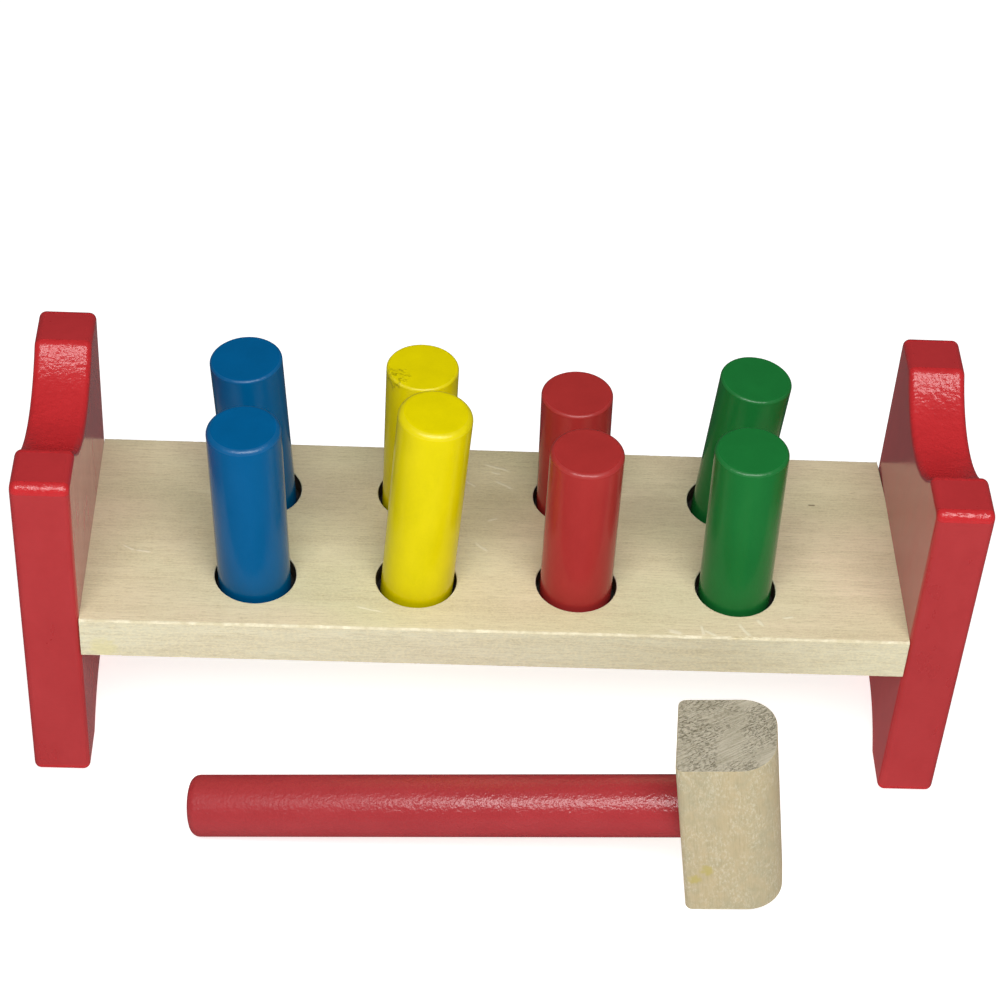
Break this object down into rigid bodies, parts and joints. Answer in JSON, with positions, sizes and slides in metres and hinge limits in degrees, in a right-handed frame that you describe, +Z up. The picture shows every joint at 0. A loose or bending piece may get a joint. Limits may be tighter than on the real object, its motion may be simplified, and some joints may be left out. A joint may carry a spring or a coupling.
{
  "type": "peg pounding bench",
  "caption": "Wooden pounding bench: a drilled board between scooped end panels, coloured pegs held by rubber rings, and a short mallet.",
  "frame": {"origin": "bottom centre of the box round the bench and its mallet, on the table", "axes": "+X along the board to the right, +Y to the back, +Z up from the table; the mallet lies in front, at -Y"},
  "size_m": [0.2916, 0.137, 0.139],
  "materials": {
    "board_wood": "planed and lightly sealed",
    "panel_enamel": "gloss enamel",
    "dowel_wood": "bare",
    "ring_rubber": "moulded",
    "blue_enamel": "satin enamel",
    "yellow_enamel": "satin enamel",
    "red_enamel": "satin enamel",
    "green_enamel": "satin enamel",
    "mallet_wood": "bare, sawn end grain",
    "handle_enamel": "satin enamel over coarse grain"
  },
  "bodies": {
    "bench": {"board": "board_wood", "left_end_panel": "panel_enamel", "right_end_panel": "panel_enamel", "left_front_dowel": "dowel_wood", "left_back_dowel": "dowel_wood", "right_front_dowel": "dowel_wood", "right_back_dowel": "dowel_wood", "blue_front_ring": "ring_rubber", "blue_back_ring": "ring_rubber", "yellow_front_ring": "ring_rubber", "yellow_back_ring": "ring_rubber", "red_front_ring": "ring_rubber", "red_back_ring": "ring_rubber", "green_front_ring": "ring_rubber", "green_back_ring": "ring_rubber"},
    "blue_front_peg": {"blue_front_peg": "blue_enamel"},
    "blue_back_peg": {"blue_back_peg": "blue_enamel"},
    "yellow_front_peg": {"yellow_front_peg": "yellow_enamel"},
    "yellow_back_peg": {"yellow_back_peg": "yellow_enamel"},
    "red_front_peg": {"red_front_peg": "red_enamel"},
    "red_back_peg": {"red_back_peg": "red_enamel"},
    "green_front_peg": {"green_front_peg": "green_enamel"},
    "green_back_peg": {"green_back_peg": "green_enamel"},
    "mallet": {"mallet_head": "mallet_wood", "mallet_handle": "handle_enamel"}
  },
  "joints": [
    {"name": "blue_front_slide", "type": "slide", "parent": "bench", "child": "blue_front_peg", "axis": [-0.0451, 0, 0.999], "range_m": [-0.04933, 0.00906]},
    {"name": "blue_back_slide", "type": "slide", "parent": "bench", "child": "blue_back_peg", "axis": [-0.0748, 0, 0.9972], "range_m": [-0.04291, 0.01544]},
    {"name": "yellow_front_slide", "type": "slide", "parent": "bench", "child": "yellow_front_peg", "axis": [0.049, 0, 0.9988], "range_m": [-0.05769, 0.0007]},
    {"name": "yellow_back_slide", "type": "slide", "parent": "bench", "child": "yellow_back_peg", "axis": [0, 0, 1], "range_m": [-0.0424, 0.0163]},
    {"name": "red_front_slide", "type": "slide", "parent": "bench", "child": "red_front_peg", "axis": [-0.0065, 0, 1], "range_m": [-0.04436, 0.01428]},
    {"name": "red_back_slide", "type": "slide", "parent": "bench", "child": "red_back_peg", "axis": [-0.0271, 0, 0.9996], "range_m": [-0.03326, 0.02522]},
    {"name": "green_front_slide", "type": "slide", "parent": "bench", "child": "green_front_peg", "axis": [-0.0181, 0, 0.9998], "range_m": [-0.0467, 0.01184]},
    {"name": "green_back_slide", "type": "slide", "parent": "bench", "child": "green_back_peg", "axis": [0.0657, 0, 0.9978], "range_m": [-0.04125, 0.0171]},
    {"name": "mallet_lift", "type": "slide", "parent": "bench", "child": "mallet", "axis": [0, 0, 1], "range_m": [0, 0.25]}
  ]
}
